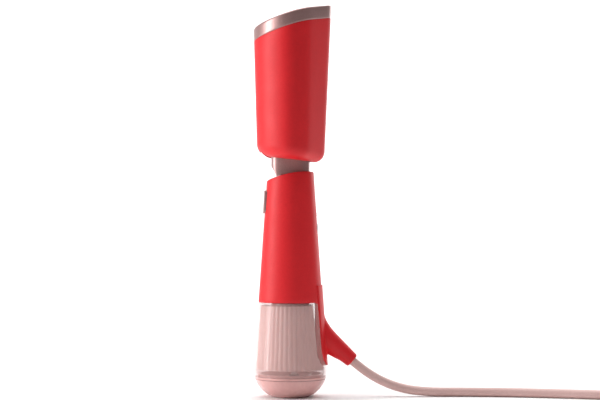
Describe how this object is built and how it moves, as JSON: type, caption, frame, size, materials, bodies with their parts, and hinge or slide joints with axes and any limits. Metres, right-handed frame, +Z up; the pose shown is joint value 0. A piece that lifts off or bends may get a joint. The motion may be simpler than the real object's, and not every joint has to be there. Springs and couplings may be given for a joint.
{
  "type": "handheld garment steamer",
  "caption": "Upright handheld garment steamer: tilting head with a sloped steam plate, straight grip with a trigger, translucent water tank as its foot, and a mains cord from a rear boom.",
  "frame": {"origin": "centre of the tank's flat foot", "axes": "+Z up along the grip, -X towards the trigger, +X towards the mains cord"},
  "size_m": [0.4625, 0.1089, 0.3499],
  "materials": {
    "red_shell": "high gloss moulded",
    "rose_metal": "rose taupe metallic gloss",
    "clear_pink": "translucent gloss",
    "ribbed_pink": "translucent ribbed",
    "pale_pink": "satin",
    "cord_pink": "matte jacket",
    "plate_steel": "satin",
    "cast_aluminium": "cast",
    "bright_steel": "bright",
    "inner_plastic": "moulded",
    "seal_rubber": "matte",
    "silicone_tube": "soft",
    "brass_fitting": "turned",
    "board_green": "laminate",
    "lens_clear": "clear"
  },
  "bodies": {
    "tank": {"tank_shell": "clear_pink", "tank_foot": "pale_pink", "tank_ring": "pale_pink", "tank_liner": "ribbed_pink", "tank_collar": "pale_pink"},
    "handle": {"handle_shell_left": "red_shell", "handle_shell_right": "red_shell", "handle_screws": "bright_steel", "handle_base": "inner_plastic", "base_gasket": "seal_rubber", "rear_spine": "red_shell", "cord_bush": "seal_rubber", "neck": "rose_metal", "trigger_spring": "bright_steel", "trigger_switch": "inner_plastic", "power_spring": "bright_steel", "power_switch": "inner_plastic", "indicator_lens": "lens_clear", "pump_body": "inner_plastic", "pump_coil": "brass_fitting", "suction_tube": "silicone_tube", "suction_filter": "inner_plastic", "riser_hose": "silicone_tube", "chassis": "inner_plastic", "control_board": "board_green", "power_cord": "cord_pink", "cord_coil": "cord_pink", "cord_tail": "cord_pink", "coil_tie": "seal_rubber", "plug_body": "cord_pink", "plug_pins": "bright_steel"},
    "head": {"head_shell": "red_shell", "hinge_pocket": "inner_plastic", "pivot_pins": "bright_steel", "friction_washers": "inner_plastic", "steam_chamber": "cast_aluminium", "chamber_cover": "cast_aluminium", "heating_element": "bright_steel", "chamber_screws": "bright_steel", "thermostat": "brass_fitting", "thermal_fuse": "brass_fitting", "inlet_fitting": "brass_fitting", "head_hose": "silicone_tube", "heat_shield": "bright_steel", "plate_band": "rose_metal", "steam_plate": "plate_steel", "plate_gasket": "seal_rubber"},
    "trigger": {"trigger": "rose_metal"},
    "power_button": {"power_button": "rose_metal"}
  },
  "joints": [
    {"name": "tank_release", "type": "slide", "parent": "tank", "child": "handle", "axis": [0, 0, 1], "range_m": [0, 0.085]},
    {"name": "head_tilt", "type": "hinge", "parent": "handle", "child": "head", "pos_m": [0, 0, 0.219], "axis": [0, -1, 0], "range_deg": [0, 48]},
    {"name": "trigger_press", "type": "slide", "parent": "handle", "child": "trigger", "axis": [1, 0, 0], "range_m": [0, 0.0015], "stiffness_N_per_m": 900, "springref_m": -0.0015, "deforming": ["trigger_spring"]},
    {"name": "power_press", "type": "slide", "parent": "handle", "child": "power_button", "axis": [-1, 0, 0], "range_m": [0, 0.0012], "stiffness_N_per_m": 800, "springref_m": -0.0012, "deforming": ["power_spring"]}
  ]
}
